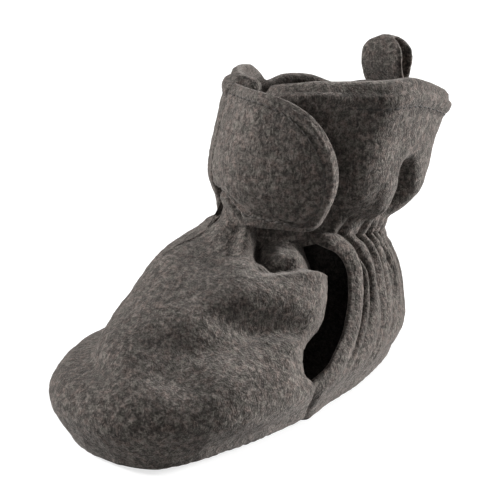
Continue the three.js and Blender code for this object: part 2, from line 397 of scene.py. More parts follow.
@dataclass
class Layer:
    """One cloth layer sewn to shape, with a fine outer face, a coarse inner face and a rounded edge.

    Attributes:
        name: The piece's name.
        place: Gives angle and height for shares across and up.
        outer: Gives how far the outer face stands off the drafted surface, in mm.
        thickness: Cloth thickness in mm.
        columns: Cells across, a multiple of COARSE.
        rows: Cells up, a multiple of COARSE.
        nap: Depth of the fine surface lumps in mm.
        roll: How far the border turns in, in mm.
        roll_reach: Width of the border that turns in, in mm.
        seed: Which noise the lumps use.
        drop: Gives how far a point is pulled straight down, in mm.
    """

    name: str
    place: Placing
    outer: Field
    thickness: float
    columns: int
    rows: int
    nap: float = 0.14
    roll: float = 0.0
    roll_reach: float = 2.5
    seed: int = 1
    drop: Field | None = None

    def build(self, upper: Upper) -> bpy.types.Object:
        """Makes the piece.

        Args:
            upper: The drafted surface.

        Returns:
            The new object.
        """
        across, up = np.meshgrid(np.linspace(0, 1, self.columns + 1), np.linspace(0, 1, self.rows + 1))
        angle, height = self.place(across, up)
        base, normal = upper.point(angle, height), upper.normal(angle, height)
        lift = self.outer(angle, height, base)
        order = rim_order(self.columns, self.rows)
        if self.roll:
            inward = reach_from(base, base.reshape(-1, 3)[order])
            lift = lift - self.roll * np.clip(1 - inward / self.roll_reach, 0, 1) ** 2
        body = base + normal * lift[..., None]
        if self.drop:
            body[..., 2] -= self.drop(angle, height, base)
        grain = 0.55 * lumps(body, 1.3, self.seed) + 0.45 * lumps(body, 2.7, self.seed + 7)
        outside = (body + normal * (self.nap * grain)[..., None]).reshape(-1, 3)
        inside = (body - normal * self.thickness).reshape(-1, 3)
        normal = normal.reshape(-1, 3)
        vertices, faces = list(outside), lattice_faces(self.columns, self.rows)
        self._edge(vertices, faces, outside, inside, normal, order)
        return make_object(self.name, np.array(vertices), faces)

    def _edge(
        self,
        vertices: list[Array],
        faces: list[tuple[int, ...]],
        outside: Array,
        inside: Array,
        normal: Array,
        order: list[int],
    ) -> None:
        """Adds the rounded edge and the coarse inner face.

        Args:
            vertices: The outer face's vertices, extended here.
            faces: The outer face's faces, extended here.
            outside: Outer positions.
            inside: Inner positions.
            normal: Outward directions.
            order: Border vertices, counter-clockwise.
        """
        rim = outside[order]
        tangent = unit(np.roll(rim, -1, axis=0) - np.roll(rim, 1, axis=0))
        out = unit(np.cross(tangent, normal[order]))
        middle, half = (rim + inside[order]) / 2, (rim - inside[order]) / 2
        width = np.linalg.norm(half, axis=1, keepdims=True)
        steps, count = 5, len(order)
        ring = list(order)
        for step in range(1, steps + 1):
            turn = math.pi * step / steps
            start = len(vertices)
            if step == steps:
                vertices.extend(inside[order])
            else:
                vertices.extend(middle + half * math.cos(turn) + out * width * math.sin(turn))
            following = list(range(start, start + count))
            for k in range(count):
                nxt = (k + 1) % count
                faces.append((ring[nxt], ring[k], following[k], following[nxt]))
            ring = following
        wide = self.columns + 1
        known = dict(zip(order, ring))
        for j in range(0, self.rows + 1, COARSE):
            for i in range(0, self.columns + 1, COARSE):
                if j * wide + i not in known:
                    known[j * wide + i] = len(vertices)
                    vertices.append(inside[j * wide + i])
        for j in range(0, self.rows, COARSE):
            for i in range(0, self.columns, COARSE):
                walk = [j * wide + i + k for k in range(COARSE)]
                walk += [(j + k) * wide + i + COARSE for k in range(COARSE)]
                walk += [(j + COARSE) * wide + i + COARSE - k for k in range(COARSE)]
                walk += [(j + COARSE - k) * wide + i for k in range(COARSE)]
                faces.append(tuple(known[v] for v in reversed(walk) if v in known))


@dataclass
class Plate:
    """A flat piece over the foot's outline, lofted from a pole on top to a pole below.

    Attributes:
        name: The piece's name.
        inset: How far inside the sole edge it ends, in mm.
        bottom: Lowest level in mm.
        top: Level of the top's edge in mm.
        rounding: Radius of its edge in mm.
        crown: How much higher the middle of the top is, in mm.
        nap: Depth of its fine lumps in mm.
    """

    name: str
    inset: float
    bottom: float
    top: float
    rounding: float
    crown: float = 0.0
    nap: float = 0.05

    def build(self, upper: Upper) -> bpy.types.Object:
        """Makes the piece.

        Args:
            upper: The drafted surface, whose sole edge gives the outline.

        Returns:
            The new object.
        """
        steps = 240
        angle = np.arange(steps) * 360.0 / steps
        edge = upper.point(angle, np.zeros(steps))
        tangent = unit(upper.point(angle + 1, np.zeros(steps)) - upper.point(angle - 1, np.zeros(steps)))
        inward = np.stack([-tangent[:, 1], tangent[:, 0], np.zeros(steps)], axis=1)
        centre = np.array([-1.0, -2.0, 0.0])
        profile = [(share, 0.0, self.top + self.crown * (1 - share**2)) for share in np.linspace(0.04, 0.96, 28)]
        bend = np.linspace(0, math.pi, 9)
        deep = min(self.rounding, (self.top - self.bottom) / 2)
        for turn in bend:
            if turn <= math.pi / 2:
                level = self.top - deep + deep * math.cos(turn)
            else:
                level = self.bottom + deep * (1 + math.cos(turn))
            profile.append((1.0, self.rounding * (1 - math.sin(turn)), level))
        profile += [(share, 0.0, self.bottom) for share in np.linspace(0.96, 0.04, 28)]
        rings = []
        for share, back, level in profile:
            outline = edge + inward * (self.inset + back)
            ring = centre + (outline - centre) * share
            ring[:, 2] = level
            rings.append(ring)
        vertices = np.concatenate(rings)
        vertices[:, 2] += self.nap * lumps(vertices, 2.0, 5) * (vertices[:, 2] > (self.top + self.bottom) / 2)
        poles = np.array([[*centre[:2], self.top + self.crown], [*centre[:2], self.bottom]])
        faces = ring_faces(len(rings), steps)
        last, pole = (len(rings) - 1) * steps, len(vertices)
        for k in range(steps):
            nxt = (k + 1) % steps
            faces.append((pole, k, nxt))
            faces.append((pole + 1, last + nxt, last + k))
        return make_object(self.name, np.concatenate([vertices, poles]), faces)


# ---------------------------------------------------------------- node trees


class Signal:
    """A node's output that does arithmetic: each operator adds a Math node."""

    def __init__(self, graph: "Graph", socket: bpy.types.NodeSocket) -> None:
        """Wraps a socket of a graph."""
        self.graph = graph
        self.socket = socket

    def _maths(self, operation: str, *values: "Signal | float") -> "Signal":
        """A Math node on values."""
        return self.graph.maths(operation, *values)

    def __add__(self, other: "Signal | float") -> "Signal":
        """self + other."""
        return self._maths("ADD", self, other)

    __radd__ = __add__

    def __sub__(self, other: "Signal | float") -> "Signal":
        """self - other."""
        return self._maths("SUBTRACT", self, other)

    def __mul__(self, other: "Signal | float") -> "Signal":
        """self * other."""
        return self._maths("MULTIPLY", self, other)

    __rmul__ = __mul__

    def __mod__(self, other: float) -> "Signal":
        """The remainder of self / other."""
        return self._maths("FLOORED_MODULO", self, other)


Value = Signal | float | int | tuple | bpy.types.ID | bool | str


class Graph:
    """A node tree that is filled by method calls."""

    def __init__(self, tree: bpy.types.NodeTree) -> None:
        """Works on a tree."""
        self.tree = tree

    def node(self, kind: str, settings: dict | None = None, inputs: dict | None = None) -> bpy.types.Node:
        """Adds any node.

        Args:
            kind: The node's type.
            settings: Its properties; "stops" holds a ramp's (position, colour) pairs.
            inputs: Values or signals by socket name or number.

        Returns:
            The node.
        """
        node = self.tree.nodes.new(kind)
        for name, value in (settings or {}).items():
            if name == "stops":
                self._stops(node.color_ramp, value)
            else:
                setattr(node, name, value)
        for key, value in (inputs or {}).items():
            socket = node.inputs[key]
            if isinstance(value, Signal):
                self.tree.links.new(value.socket, socket)
            else:
                socket.default_value = value
        return node

    @staticmethod
    def _stops(ramp: bpy.types.ColorRamp, stops: Sequence[tuple[float, Triple]]) -> None:
        """Sets a ramp's stops."""
        while len(ramp.elements) < len(stops):
            ramp.elements.new(1.0)
        for element, (position, colour) in zip(ramp.elements, stops):
            element.position = position
            element.color = (*colour, 1.0)

    def signal(self, node: bpy.types.Node, output: str | int = 0) -> Signal:
        """One of a node's outputs."""
        return Signal(self, node.outputs[output])

    def out(
        self, kind: str, settings: dict | None = None, inputs: dict | None = None, output: str | int = 0
    ) -> Signal:
        """Adds any node and gives one of its outputs."""
        return self.signal(self.node(kind, settings, inputs), output)

    def maths(self, operation: str, *values: Signal | float) -> Signal:
        """A Math node."""
        return self.out("ShaderNodeMath", {"operation": operation}, dict(enumerate(values)))

    def vector(self, operation: str, *values: Value) -> Signal:
        """A Vector Math node."""
        return self.out("ShaderNodeVectorMath", {"operation": operation}, dict(enumerate(values)))

    def scaled(self, vector: Signal, amount: Signal | float) -> Signal:
        """A vector or colour times a number."""
        return self.out("ShaderNodeVectorMath", {"operation": "SCALE"}, {"Vector": vector, "Scale": amount})

    def ramp(self, factor: Signal, stops: Sequence[tuple[float, Triple]]) -> Signal:
        """Colours along a value."""
        return self.out("ShaderNodeValToRGB", {"stops": stops}, {"Fac": factor})

    def noise(
        self, spot: Signal, per_mm: float, detail: float = 2.0, roughness: float = 0.5, warp: float = 0.0
    ) -> Signal:
        """Noise on object coordinates.

        Args:
            spot: The coordinates, in metres.
            per_mm: Lumps to the millimetre.
            detail: Octaves.
            roughness: Strength of the finer octaves.
            warp: Distortion.

        Returns:
            The value, about 0.5 on average.
        """
        inputs = {"Vector": spot, "Scale": per_mm / MM, "Detail": detail, "Roughness": roughness, "Distortion": warp}
        return self.out("ShaderNodeTexNoise", {"noise_dimensions": "3D"}, inputs, "Fac")

    def stretched(self, spot: Signal, turn: Triple, scale: Triple) -> Signal:
        """Coordinates turned and stretched."""
        inputs = {"Vector": spot, "Rotation": turn, "Scale": scale}
        return self.out("ShaderNodeMapping", {"vector_type": "POINT"}, inputs)

    def link(self, value: Signal, node: bpy.types.Node, socket: str) -> None:
        """Connects a signal to a node's input."""
        self.tree.links.new(value.socket, node.inputs[socket])


@dataclass(frozen=True)
class Finish:
    """A surface finish. Each kind fills its own node tree.

    Attributes:
        name: The material's name.
    """

    name: str

    def material(self) -> bpy.types.Material:
        """The finish as a material, made at the first call."""
        found = bpy.data.materials.get(self.name)
        if found:
            return found
        made = bpy.data.materials.new(self.name)
        made.use_nodes = True
        made.node_tree.nodes.clear()
        graph = Graph(made.node_tree)
        shader = graph.node("ShaderNodeBsdfPrincipled")
        graph.node("ShaderNodeOutputMaterial", inputs={"Surface": graph.signal(shader)})
        self.fill(graph, shader)
        return made

    def fill(self, graph: Graph, shader: bpy.types.Node) -> None:
        """Connects the finish to its shader."""
        raise NotImplementedError

    @staticmethod
    def spot(graph: Graph) -> Signal:
        """The object's own coordinates."""
        return graph.out("ShaderNodeTexCoord", output="Object")

    @staticmethod
    def levels(shader: bpy.types.Node, **values: float | tuple[float, ...]) -> None:
        """Sets the shader's plain inputs, named with _ for a space."""
        for name, value in values.items():
            shader.inputs[name.replace("_", " ")].default_value = value

    @staticmethod
    def bump(graph: Graph, shader: bpy.types.Node, height: Signal, depth: float, strength: float = 1.0) -> None:
        """Feeds a bump of a depth in mm into the shader's normal."""
        inputs = {"Height": height, "Distance": depth * MM, "Strength": strength}
        graph.link(graph.out("ShaderNodeBump", inputs=inputs), shader, "Normal")


def shade(colour: Triple, factor: float) -> Triple:
    """A colour made lighter or darker."""
    return tuple(factor * part for part in colour)


@dataclass(frozen=True)
class Fleece(Finish):
    """Heather fleece: light and dark fibres mixed, with a soft nap.

    Attributes:
        dark: Colour of the darkest flecks.
        middle: Main colour.
        light: Colour of the lightest fibres.
        fleck: Flecks to the millimetre.
        depth: Bump depth in mm.
        sheen: Strength of the soft edge glow.
    """

    dark: Triple = (0.018, 0.0155, 0.014)
    middle: Triple = (0.078, 0.067, 0.060)
    light: Triple = (0.205, 0.178, 0.160)
    fleck: float = 0.72
    depth: float = 0.9
    sheen: float = 0.3

    def fill(self, graph: Graph, shader: bpy.types.Node) -> None:
        """Connects the fleece to its shader."""
        spot = self.spot(graph)
        clumps = graph.noise(spot, self.fleck, 3.0, 0.6, 0.6)
        flecks = graph.noise(spot, self.fleck * 2.7, 2.0, 0.6, 0.8)
        leant = graph.stretched(spot, (0.3, 0.5, 0.4), (1.0, 1.0, 0.3))
        lean = graph.noise(leant, self.fleck * 3.2, 2.0, 0.55, 0.6)
        crossed = graph.stretched(spot, (0.9, 0.2, 1.1), (0.3, 1.0, 1.0))
        cross = graph.noise(crossed, self.fleck * 3.6, 2.0, 0.55, 0.6)
        mottle = graph.noise(spot, 0.09, 2.0, 0.5)
        tone = clumps * 0.42 + flecks * 0.22 + lean * 0.2 + cross * 0.16
        colour = graph.ramp(
            tone,
            ((0.375, self.dark), (0.455, shade(self.middle, 0.5)), (0.505, self.middle), (0.62, self.light)),
        )
        hue = graph.noise(spot, self.fleck * 0.75, 2.0, 0.5)
        tint = graph.ramp(hue, ((0.36, (1.06, 0.98, 0.96)), (0.5, (1.0, 1.0, 1.0)), (0.64, (0.96, 1.01, 0.98))))
        mixed = graph.vector("MULTIPLY", colour, tint)
        shaded = graph.scaled(mixed, mottle * 0.7 + 0.65)
        graph.link(shaded, shader, "Base Color")
        nap = clumps * 0.5 + flecks * 0.3 + lean * 0.25 + cross * 0.2
        self.bump(graph, shader, nap, self.depth)
        self.levels(shader, Roughness=0.95, Specular_IOR_Level=0.15)
        self.levels(shader, Sheen_Weight=self.sheen, Sheen_Roughness=0.55, Sheen_Tint=(0.62, 0.58, 0.55, 1.0))


@dataclass(frozen=True)
class Print(Finish):
    """Matte printed silicone."""

    colour: Triple = (0.62, 0.53, 0.49)

    def fill(self, graph: Graph, shader: bpy.types.Node) -> None:
        """Connects the print to its shader."""
        spot = self.spot(graph)
        grain = graph.noise(spot, 2.2, 2.0, 0.5)
        wear = graph.noise(spot, 0.18, 3.0, 0.6)
        colour = graph.ramp(wear, ((0.3, shade(self.colour, 0.86)), (0.6, self.colour)))
        graph.link(colour, shader, "Base Color")
        graph.link(0.42 + wear * 0.25, shader, "Roughness")
        self.bump(graph, shader, grain, 0.06)


@dataclass(frozen=True)
class Tape(Finish):
    """Woven or moulded tape, with ribs across it.

    Attributes:
        colour: Its colour.
        ribs: Ribs to the millimetre.
        depth: Rib depth in mm.
        rough: Roughness.
    """

    colour: Triple = (0.1, 0.09, 0.085)
    ribs: float = 1.1
    depth: float = 0.25
    rough: float = 0.7

    def fill(self, graph: Graph, shader: bpy.types.Node) -> None:
        """Connects the tape to its shader."""
        spot = self.spot(graph)
        inputs = {"Vector": spot, "Scale": self.ribs / MM / 3.2, "Distortion": 0.3, "Detail": 1.0}
        ribs = graph.out("ShaderNodeTexWave", {"bands_direction": "Z"}, inputs, output="Fac")
        fuzz = graph.noise(spot, 1.8, 2.0, 0.6)
        colour = graph.ramp(
            ribs * 0.6 + fuzz * 0.4,
            ((0.25, shade(self.colour, 0.5)), (0.75, shade(self.colour, 1.25))),
        )
        graph.link(colour, shader, "Base Color")
        self.bump(graph, shader, ribs + fuzz * 0.5, self.depth)
        self.levels(shader, Roughness=self.rough)


@dataclass(frozen=True)
class Thread(Finish):
    """Twisted sewing thread."""

    colour: Triple = (0.06, 0.052, 0.047)

    def fill(self, graph: Graph, shader: bpy.types.Node) -> None:
        """Connects the thread to its shader."""
        spot = self.spot(graph)
        twist = graph.noise(graph.stretched(spot, (0.6, 0.6, 0.2), (1.0, 0.35, 1.0)), 5.0, 1.0, 0.5)
        colour = graph.ramp(twist, ((0.35, shade(self.colour, 0.6)), (0.65, shade(self.colour, 1.3))))
        graph.link(colour, shader, "Base Color")
        self.bump(graph, shader, twist, 0.06)
        self.levels(shader, Roughness=0.75)


@dataclass(frozen=True)
class Paper(Finish):
    """The plain pale floor.

    Attributes:
        tone: Its grey.
        glow: How strongly it glows, to the camera only, which keeps the background white.
    """

    tone: float = 0.4
    glow: float = 0.72

    def fill(self, graph: Graph, shader: bpy.types.Node) -> None:
        """Connects the paper to its shader."""
        grain = graph.noise(self.spot(graph), 0.02, 2.0, 0.5)
        colour = graph.ramp(grain, ((0.3, (self.tone * 0.985,) * 3), (0.7, (self.tone,) * 3)))
        graph.link(colour, shader, "Base Color")
        self.levels(shader, Roughness=0.95, Specular_IOR_Level=0.1, Emission_Strength=self.glow)
        seen = graph.out("ShaderNodeLightPath")
        shown = graph.ramp(seen, ((0.0, (0.0, 0.0, 0.0)), (1.0, (1.0, 1.0, 1.0))))
        graph.link(shown, shader, "Emission Color")


SHELL = Fleece("heather_fleece")
# Partly painted light: a lighter copy of the shell fleece, so the strap reads brighter for the extra light it catches,
# and in part for a lighter nap.
STRAP_PAINTED_LIGHT_FLEECE = Fleece("strap_fleece", middle=(0.092, 0.079, 0.071))
LINING = Fleece(
    "brushed_lining", dark=(0.045, 0.038, 0.034), middle=(0.115, 0.100, 0.092), light=(0.2, 0.18, 0.165),
    fleck=0.8, depth=0.35,
)
# Painted shade: the lining behind the crease between the vamp and the quarter is coloured near black, without sheen,
# to stand for the deep shadow in that gap.
SHADE_PAINTED_LINING = Fleece(
    "shade_painted_lining", dark=(0.008, 0.007, 0.006), middle=(0.022, 0.019, 0.017), light=(0.05, 0.044, 0.04),
    fleck=0.9, depth=0.3, sheen=0.0,
)
SOLE_KNIT = Fleece(
    "sole_knit", dark=(0.014, 0.012, 0.010), middle=(0.040, 0.034, 0.029), light=(0.095, 0.083, 0.072),
    fleck=0.8, depth=0.3, sheen=0.15,
)
PADDING = Fleece(
    "needled_padding", dark=(0.4, 0.37, 0.31), middle=(0.6, 0.57, 0.5), light=(0.72, 0.7, 0.64),
    fleck=0.4, depth=0.5,
)
GRIP = Print("grip_print")
ELASTIC = Tape("woven_elastic", colour=(0.2, 0.19, 0.18))
BRISTLE = Thread("bristle", colour=(0.09, 0.082, 0.078))
THREAD = Thread("sewing_thread")
DARK_THREAD = Thread("dark_thread", colour=(0.025, 0.022, 0.02))


# ---------------------------------------------------------------- grown pieces


class Recipe:
    """A Geometry Nodes tree with named sizes, which grows pieces from a seed mesh."""

    KINDS = {int: "NodeSocketInt", float: "NodeSocketFloat", tuple: "NodeSocketVector"}

    def __init__(self, name: str, sizes: dict[str, int | float | Triple]) -> None:
        """Starts a tree.

        Args:
            name: The tree's name.
            sizes: Its named inputs with their defaults.
        """
        self.tree = bpy.data.node_groups.new(name, "GeometryNodeTree")
        face = self.tree.interface
        face.new_socket("Geometry", in_out="INPUT", socket_type="NodeSocketGeometry")
        for label, value in sizes.items():
            face.new_socket(label, in_out="INPUT", socket_type=self.KINDS[type(value)]).default_value = value
        face.new_socket("Material", in_out="INPUT", socket_type="NodeSocketMaterial")
        face.new_socket("Geometry", in_out="OUTPUT", socket_type="NodeSocketGeometry")
        self.graph = Graph(self.tree)
        self.start = self.graph.node("NodeGroupInput")

    def size(self, label: str) -> Signal:
        """A named input."""
        return self.graph.signal(self.start, label)

    def close(self, geometry: Signal) -> None:
        """Ends the tree: real geometry, smooth, with the material set."""
        graph = self.graph
        real = graph.out("GeometryNodeRealizeInstances", inputs={"Geometry": geometry})
        smooth = graph.out("GeometryNodeSetShadeSmooth", inputs={"Geometry": real})
        inputs = {"Geometry": smooth, "Material": self.size("Material")}
        dressed = graph.node("GeometryNodeSetMaterial", inputs=inputs)
        graph.node("NodeGroupOutput", inputs={"Geometry": graph.signal(dressed)})

    def grow(self, name: str, seed: bpy.types.Object, finish: Finish, **sizes: Value) -> bpy.types.Object:
        """Grows one plain piece and removes the seed.

        Args:
            name: The piece's name.
            seed: The mesh that the tree starts from.
            finish: The piece's finish.
            **sizes: Values for the named inputs, with _ for a space.

        Returns:
            The new object.
        """
        modifier = seed.modifiers.new("grow", "NODES")
        modifier.node_group = self.tree
        wanted = {label.replace("_", " "): value for label, value in sizes.items()}
        wanted["Material"] = finish.material()
        for item in self.tree.interface.items_tree:
            if item.in_out == "INPUT" and item.name in wanted:
                modifier[item.identifier] = wanted[item.name]
        grown = seed.evaluated_get(bpy.context.evaluated_depsgraph_get())
        mesh = bpy.data.meshes.new_from_object(grown)
        mesh.name = name
        seed.modifiers.clear()
        bpy.data.objects.remove(seed)
        piece = bpy.data.objects.new(name, mesh)
        bpy.context.scene.collection.objects.link(piece)
        return piece


def zigzag_recipe() -> Recipe:
    """The printed grip: a zigzag stroke with soft edges."""
    sizes = {
        "Segments": 8, "Step": 0.0037, "Swing": 0.0020, "Width": 0.0018, "Height": 0.0007, "Centre": (0.0, 0.0, 0.0)
    }
    recipe = Recipe("zigzag_print", sizes)
    graph, size = recipe.graph, recipe.size
    half = size("Segments") * size("Step") * -0.5
    first = graph.vector("ADD", size("Centre"), graph.out("ShaderNodeCombineXYZ", inputs={"X": half}))
    step = graph.out("ShaderNodeCombineXYZ", inputs={"X": size("Step")})
    inputs = {"Count": size("Segments") + 1, "Start Location": first, "Offset": step}
    line = graph.out("GeometryNodeMeshLine", {"mode": "OFFSET"}, inputs)
    odd = graph.out("GeometryNodeInputIndex") % 2
    sway = graph.out("ShaderNodeCombineXYZ", inputs={"Y": (odd * 2 - 1) * size("Swing")})
    bent = graph.out("GeometryNodeSetPosition", inputs={"Geometry": line, "Offset": sway})
    curve = graph.out("GeometryNodeMeshToCurve", inputs={"Mesh": bent})
    soft = graph.node(
        "GeometryNodeFilletCurve", {"mode": "POLY"}, {"Curve": curve, "Count": 5, "Radius": size("Width") * 0.5}
    )
    upright = graph.node("GeometryNodeSetCurveNormal", {"mode": "Z_UP"}, {"Curve": graph.signal(soft)})
    inputs = {"Width": size("Width"), "Height": size("Height")}
    bar = graph.node("GeometryNodeCurvePrimitiveQuadrilateral", inputs=inputs)
    inputs = {"Curve": graph.signal(bar), "Count": 4, "Radius": size("Height") * 0.45}
    profile = graph.out("GeometryNodeFilletCurve", {"mode": "POLY"}, inputs)
    inputs = {"Curve": graph.signal(upright), "Profile Curve": profile, "Fill Caps": True}
    recipe.close(graph.out("GeometryNodeCurveToMesh", inputs=inputs))
    return recipe


def stitch_recipe() -> Recipe:
    """A running stitch: thread loops laid end to end along a line."""
    recipe = Recipe("running_stitch", {"Pitch": 0.0026, "Length": 0.0019, "Thread": 0.0005})
    graph, size = recipe.graph, recipe.size
    curve = graph.out("GeometryNodeMeshToCurve", inputs={"Mesh": graph.signal(recipe.start, "Geometry")})
    even = graph.out("GeometryNodeResampleCurve", {"mode": "LENGTH"}, {"Curve": curve, "Length": size("Pitch")})
    bead = graph.out("GeometryNodeMeshUVSphere", inputs={"Segments": 8, "Rings": 5, "Radius": 0.5})
    along = graph.out("GeometryNodeInputTangent")
    turn = graph.node("FunctionNodeAlignRotationToVector", {"axis": "Z"}, {"Vector": along})
    inputs = {"X": size("Thread"), "Y": size("Thread"), "Z": size("Length")}
    shape = graph.out("ShaderNodeCombineXYZ", inputs=inputs)
    inputs = {"Points": even, "Instance": bead, "Rotation": graph.signal(turn), "Scale": shape}
    recipe.close(graph.out("GeometryNodeInstanceOnPoints", inputs=inputs))
    return recipe


def bristle_recipe() -> Recipe:
    """A field of small leaning bristles over a patch, on the patch itself."""
    recipe = Recipe("bristle_field", {"Density": 1.2e6, "Tall": 0.0007, "Thick": 0.00022, "Seed": 3})
    graph, size = recipe.graph, recipe.size
    patch = graph.signal(recipe.start, "Geometry")
    inputs = {"Mesh": patch, "Density": size("Density"), "Seed": size("Seed")}
    scatter = graph.node("GeometryNodeDistributePointsOnFaces", {"distribute_method": "RANDOM"}, inputs)
    spike = graph.node(
        "GeometryNodeMeshCone",
        inputs={
            "Vertices": 5,
            "Side Segments": 2,
            "Radius Top": size("Thick") * 0.7,
            "Radius Bottom": size("Thick") * 0.5,
            "Depth": size("Tall"),
        },
    )
    spread = graph.node(
        "FunctionNodeRandomValue",
        {"data_type": "FLOAT_VECTOR"},
        {"Min": (-0.5, -0.5, -3.0), "Max": (0.5, 0.5, 3.0), "Seed": size("Seed")},
    )
    turn = graph.signal(scatter, "Rotation")
    inputs = {"Points": graph.signal(scatter), "Instance": graph.signal(spike), "Rotation": turn}
    field_of = graph.out("GeometryNodeInstanceOnPoints", inputs=inputs)
    leant = graph.node("GeometryNodeRotateInstances", inputs={"Instances": field_of, "Rotation": graph.signal(spread)})
    joined = graph.node("GeometryNodeJoinGeometry")
    for source in (patch, graph.signal(leant)):
        graph.link(source, joined, "Geometry")
    recipe.close(graph.signal(joined))
    return recipe


def polyline(name: str, points: Array) -> bpy.types.Object:
    """A seed mesh of edges through points given in mm."""
    mesh = bpy.data.meshes.new(name)
    mesh.from_pydata((points * MM).tolist(), [(k, k + 1) for k in range(len(points) - 1)], [])
    seed = bpy.data.objects.new(name, mesh)
    bpy.context.scene.collection.objects.link(seed)
    return seed


# ---------------------------------------------------------------- sub-assemblies


class SubAssembly:
    """Shared sewing, dressing and mounting of pieces."""

    upper: Upper

    def wear(self, piece: bpy.types.Object, finish: Finish) -> bpy.types.Object:
        """Gives a piece its finish."""
        piece.data.materials.clear()
        piece.data.materials.append(finish.material())
        return piece

    def mount(self, piece: bpy.types.Object, body: Body, slot: Slot, *nodes: str) -> None:
        """Rides a piece on a body in the place of nodes, and reports it."""
        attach(piece, body.value)
        if nodes:
            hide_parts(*nodes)
        log.info("%s rides on %s, %d faces", piece.name, body.value, len(piece.data.polygons))

    def sew(self, form: Layer | Plate, finish: Finish, slot: Slot, node: str) -> bpy.types.Object:
        """Makes a layer or a plate and mounts it on the shoe in the place of a node."""
        piece = self.wear(form.build(self.upper), finish)
        self.mount(piece, Body.SHOE, slot, node)
        return piece


def signed(angle: Array) -> Array:
    """Degrees from the toe from -180 to 180, below 0 on the inner side."""
    return np.where(angle > 180, angle - 360, angle)


def past_hollow(angle: Array, height: Array) -> Array:
    """Degrees past the edge of the vamp's hollow under the strap."""
    return angle - (14 + 28 * smoothstep(height, 0.615, 0.495))


def toe_share(angle: Array, full: float) -> Array:
    """1 over the toe, 0 from 60 degrees outwards and 100 inwards; full is where the outer fade ends."""
    return smoothstep(angle, -100, -60) * smoothstep(angle, 60, full)


@dataclass
class SoleUnit(SubAssembly):
    """The sole, its printed grips, the padding and the sock over it."""

    upper: Upper
    bottom: float = 1.0
    top: float = 3.2
    pad_top: float = 7.5
    sock_top: float = 8.8
    ball_segments: tuple[int, ...] = (8, 10, 10, 8)
    heel_segments: tuple[int, ...] = (6, 6, 6)
    ball_start: float = -47.0
    heel_start: float = 22.0
    spacing: float = 9.2
    grip_middle: float = -1.0
    grip_level: float = 0.35

    def build(self) -> None:
        """Makes and mounts the unit's pieces."""
        sole = Plate("sole_panel", inset=2.1, bottom=self.bottom, top=self.top, rounding=1.1, nap=0.0)
        self.sew(sole, SOLE_KNIT, Slot.SOLE, "outer_sole")
        pad = Plate(
            "sole_padding", inset=5.4, bottom=self.top + 0.3, top=self.pad_top - 0.4, rounding=1.9,
            crown=0.4, nap=0.12,
        )
        self.sew(pad, PADDING, Slot.FOAM, "insole_pad")
        sock = Plate(
            "sock_lining", inset=4.4, bottom=self.pad_top + 0.3, top=self.sock_top, rounding=0.5,
            crown=0.3, nap=0.25,
        )
        self.sew(sock, LINING, Slot.LINING, "insole_sock")
        self._grips("grip_ball", self.ball_start, self.ball_segments)
        self._grips("grip_heel", self.heel_start, self.heel_segments)

    def _grips(self, prefix: str, start: float, segments: Sequence[int]) -> None:
        """Prints one set of grips.

        Args:
            prefix: Start of the nodes' names.
            start: Where the first row lies along the foot, in mm.
            segments: Strokes in each row.
        """
        recipe = zigzag_recipe()
        for row, count in enumerate(segments):
            node = f"{prefix}_{row + 1}"
            centre = (self.grip_middle * MM, (start + row * self.spacing) * MM, self.grip_level * MM)
            seed = polyline("seed", np.zeros((2, 3)))
            grip = recipe.grow(f"{node}_print", seed, GRIP, Segments=count, Centre=centre)
            self.mount(grip, Body.SHOE, Slot.GRIP, node)


@dataclass
class Edges:
    """Where the foot's panels end, in degrees from the toe by height, and the ankle's gathers."""

    quarter: Track = single(78.0, 78.5, 79.5, 84.5, 89.0, 90.3, 90.5, 89.2, 86.5, 79.0, 61.0)
    vamp: Track = single(81.0, 80.5, 79.5, 76.0, 74.8, 80.5, 81.0, 79.5, 77.0, 72.5, 60.0)
    ankle: float = 0.61
    pleats: int = 27

    def quarter_front(self, height: Array) -> Array:
        """The quarter's front edge."""
        return self.quarter.at(np.minimum(height / self.ankle, 1.0))[..., 0]

    def vamp_rear(self, height: Array) -> Array:
        """The vamp's rear edge, which leaves a gap in front of the quarter."""
        return self.vamp.at(np.minimum(height / self.ankle, 1.0))[..., 0]

    def gathers(self, angle: Array, height: Array) -> Array:
        """The gathers' grooves, which run up through the ankle seam.

        Args:
            angle: Degrees from the toe.
            height: Height from 0 to 1.

        Returns:
            0 on a pleat's crest, down to about -1 in a groove.
        """
        front = self.quarter_front(height)
        share = (angle - front) / (360 - 2 * front)
        flat = np.zeros_like(share)
        wobble = 0.5 * lumps(np.stack([share * 40, height * 5, flat], -1), 1.0, 21)
        jitter = 0.8 + 0.35 * lumps(np.stack([share * 27, height * 3, flat], -1), 1.0, 22)
        wave = np.abs(np.sin(math.pi * (self.pleats * share + wobble)))
        return -jitter * (1 - wave) ** 1.3


@dataclass
class Flap:
    """The strap's outline."""

    root: float = -28.6
    tip: float = 53.5
    tip_height: float = 0.745
    rise: float = 0.24
    drop: float = 0.117

    def edges(self, angle: Array) -> tuple[Array, Array]:
        """The lower and upper edge's heights at an angle."""
        reach = np.clip((angle - self.root) / (self.tip - self.root), 0.0, 1.0)
        upper = self.tip_height + self.rise * np.sqrt(1 - reach**4)
        lower = self.tip_height - self.drop * np.sqrt(1 - reach**24)
        return lower + 0.07 * (1 - smoothstep(angle, -20, 12)), upper

    def outline(self, inset: float, count: int = 240) -> tuple[Array, Array]:
        """The free edge from the root's top round the tip to the root's bottom.

        Args:
            inset: How far inside the edge, in mm.
            count: How many points.

        Returns:
            Angles and heights.
        """
        share = np.sin(np.linspace(0.02, 1, count // 2) * math.pi / 2)
        reach = share * 0.9995
        step = inset / 0.52
        angle = self.root + (self.tip - step - self.root) * reach
        full = self.root + (self.tip - self.root) * reach
        lower, upper = self.edges(full)
        angles = np.concatenate([angle, angle[::-1]])
        heights = np.concatenate([upper - inset * 0.0088, lower[::-1] + inset * 0.0088])
        return angles, heights


